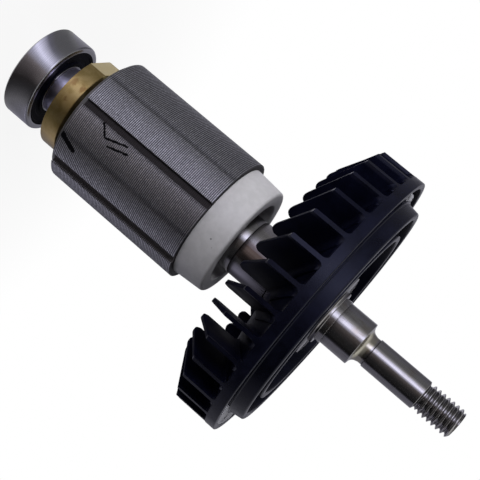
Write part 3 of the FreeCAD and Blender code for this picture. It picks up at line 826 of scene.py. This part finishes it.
# the tent's tone round the object, as degrees and grey: beside it, farther out, and at the wall
nearTones = [(-180, 0.42), (-163, 0.27), (-138, 0.28), (-126, 0.40), (-117, 1.55), (-108, 2.6), (-100, 1.15),
             (-91, 0.40), (-84, 0.22), (-74, 0.12), (-62, 0.045), (-49, 0.07), (-36, 0.18), (-23, 0.34),
             (30, 0.33), (90, 0.40), (160, 0.50)]
middleTones = [(-180, 0.36), (-163, 0.28), (-145, 0.38), (-127, 0.76), (-116, 1.0), (-108, 1.1), (-98, 0.85),
               (-88, 0.70), (-73, 0.50), (-58, 0.065), (-37, 0.05), (-19, 0.22), (-3, 0.90), (17, 1.2),
               (35, 0.50), (53, 0.27), (75, 0.26), (100, 0.50), (112, 0.90), (126, 0.95), (145, 0.60),
               (162, 0.42)]
farTones = [(-180, 0.28), (-150, 0.30), (-141, 0.52), (-133, 0.9), (-125, 2.0), (-117, 3.0), (-108, 3.2),
            (-101, 1.3), (-90, 0.23), (-70, 0.09), (-50, 0.045), (-30, 0.035), (-16, 0.015), (-7, 0.035),
            (3, 0.27), (75, 0.32), (100, 0.45), (112, 0.60), (126, 0.25), (147, 0.21), (167, 0.27)]
# from these degrees on, the tent is tinted so
tentTints = [(-180, (1.0, 1.0, 1.04)), (-128, (0.96, 0.955, 1.17)), (-95, (1.09, 0.96, 0.95)),
             (-55, (1.0, 0.98, 1.03)), (-8, (0.97, 0.955, 1.18)), (60, (0.98, 0.97, 1.1))]


def seenDirectly(tree):
    # 1 for what the camera sees, straight or in a mirror or glass, and 0 for what only lights a piece
    path = addNode(tree, "ShaderNodeLightPath").outputs
    return calc(tree, "MAXIMUM", path["Is Camera Ray"],
                calc(tree, "MAXIMUM", path["Is Glossy Ray"], path["Is Transmission Ray"]))


def studioFloor():
    bm = bmesh.new()
    bmesh.ops.create_circle(bm, cap_ends=True, radius=studio["floorRadius"], segments=96)
    floor = newObject("studioFloor", bm)
    material, tree, shader = newMaterial("paleFloor", Roughness=0.9)
    place = addNode(tree, "ShaderNodeTexCoord").outputs["Object"]
    away = vectorCalc(tree, "LENGTH", place, output=1)
    grain = noise(tree, place, 60.0, 3.0)
    base = blendColours(tree, remap(tree, grain, 0.3, 0.7), grey(studio["floorTone"]),
                        grey(studio["floorTone"] + studio["grainTone"]))
    tree.links.new(base, shader.inputs["Base Color"])
    glow = addNode(tree, "ShaderNodeEmission", {0: grey(1.0), 1: 1.0})
    # the floor shows white away from the object, and keeps its shadow beside it
    far = remap(tree, away, studio["nearFloor"], studio["farFloor"], studio["nearGlow"], 1.0)
    mixed = addNode(tree, "ShaderNodeMixShader", {0: calc(tree, "MULTIPLY", seenDirectly(tree), far),
                                                  1: shader.outputs[0], 2: glow.outputs[0]})
    tree.links.new(mixed.outputs[0], tree.nodes["Material Output"].inputs[0])
    floor.data.materials.append(material)


def toneRing(tree, share, tones):
    # one ramp of tones round the object, closed on itself
    ramp = addNode(tree, "ShaderNodeValToRGB", {0: share})
    stops = ramp.color_ramp.elements
    while len(stops) < len(tones) + 1:
        stops.new(0.5)
    for stop, (degrees, tone) in zip(stops, tones + [(180, tones[0][1])]):
        tint = [tint for start, tint in tentTints if degrees >= start][-1]
        stop.position = degrees / 360.0 + 0.5
        stop.color = grey(tone / tent["peak"], tint)
    return ramp.outputs[0]


def softTent():
    # a grey tent that only reflections see; its tone changes round the object
    bm = bmesh.new()
    t = tent
    verts = [bm.verts.new((r, 0, z)) for r, z in ((t["start"], t["low"]), (t["corner"], t["low"]),
                                                  (t["wall"], t["wallLow"]), (t["wall"], t["high"]))]
    for pair in zip(verts, verts[1:]):
        bm.edges.new(pair)
    bmesh.ops.spin(bm, geom=bm.verts[:] + bm.edges[:], cent=(0, 0, 0), axis=(0, 0, 1), dvec=(0, 0, 0),
                   angle=2 * math.pi, steps=96, use_merge=True)
    item = newObject("softTent", bm)
    material, tree, _ = newMaterial("tentCloth")
    place = addNode(tree, "ShaderNodeTexCoord").outputs["Object"]
    x, y, z = addNode(tree, "ShaderNodeSeparateXYZ", {0: place}).outputs
    share = calc(tree, "MULTIPLY_ADD", calc(tree, "ARCTAN2", y, x), 0.5 / math.pi, 0.5)
    near, middle, far = (toneRing(tree, share, tones) for tones in (nearTones, middleTones, farTones))
    out = vectorCalc(tree, "LENGTH", vectorCalc(tree, "MULTIPLY", place, (1.0, 1.0, 0.0)), output=1)
    tone = blendColours(tree, remap(tree, out, *t["nearBlend"]), near, middle)
    tone = blendColours(tree, remap(tree, out, *t["farBlend"]), tone, far)
    tone = blendColours(tree, remap(tree, z, *t["topBlend"], 0.0, t["topShare"]), tone, grey(t["topTone"]))
    cloth = addNode(tree, "ShaderNodeEmission", {0: tone, 1: t["peak"]})
    tree.links.new(cloth.outputs[0], tree.nodes["Material Output"].inputs[0])
    item.data.materials.append(material)
    item.visible_camera = False
    item.visible_diffuse = False
    item.visible_transmission = False
    item.visible_volume_scatter = False
    item.visible_shadow = False


def studioWorld():
    world = bpy.data.worlds.new("studioWorld")
    bpy.context.scene.world = world
    world.use_nodes = True
    tree = world.node_tree
    background = tree.nodes["Background"]
    background.inputs[0].default_value = grey(1.0)
    strength = remap(tree, seenDirectly(tree), 0.0, 1.0, studio["ambient"], 1.0, False)
    tree.links.new(strength, background.inputs[1])


# degrees round the object, distance, height, size and watts; the metals show the tent in their place
lamps = {"key": {"turn": -115, "away": 0.55, "height": 0.14, "size": (0.22, 0.30), "watts": 1.5},
         "side": {"turn": -165, "away": 0.55, "height": 0.22, "size": (0.40, 0.40), "watts": 1.6},
         "top": {"turn": 90, "away": 0.25, "height": 0.70, "size": (0.4, 0.4), "watts": 0.3}}
lampAim = (0, 0, 0.05)


def studioLamps():
    for name, values in lamps.items():
        light = bpy.data.lights.new(name + "Lamp", "AREA")
        light.shape = "RECTANGLE"
        light.size, light.size_y = values["size"]
        light.energy = values["watts"]
        lamp = bpy.data.objects.new(name + "Lamp", light)
        turn = math.radians(values["turn"])
        lamp.location = (values["away"] * math.cos(turn), values["away"] * math.sin(turn), values["height"])
        lamp.rotation_euler = (Vector(lampAim) - lamp.location).to_track_quat("-Z", "Y").to_euler()
        lamp.visible_glossy = False
        bpy.context.scene.collection.objects.link(lamp)


view = {"place": (0.00946, -0.18626, 0.08390), "tilt": 9.6206, "roll": 130.9357, "lens": 77.946,
        "shift": (0.05863, 0.09426), "sensor": 36.0, "clip": (0.005, 50.0)}


def photoCamera():
    data = bpy.data.cameras.new("photoCamera")
    data.sensor_width = view["sensor"]
    data.lens = view["lens"]
    data.shift_x, data.shift_y = view["shift"]
    data.clip_start, data.clip_end = view["clip"]
    eye = bpy.data.objects.new("photoCamera", data)
    bpy.context.scene.collection.objects.link(eye)
    turn = Matrix.Rotation(math.radians(90 - view["tilt"]), 4, "X")
    turn = turn @ Matrix.Rotation(math.radians(view["roll"]), 4, "Z")
    eye.matrix_world = Matrix.Translation(view["place"]) @ turn
    bpy.context.scene.camera = eye


studioFloor()
softTent()
studioWorld()
studioLamps()
photoCamera()
bpy.context.scene.view_settings.view_transform = "Standard"
print("floor, lights and camera made")

bpy.context.view_layer.update()
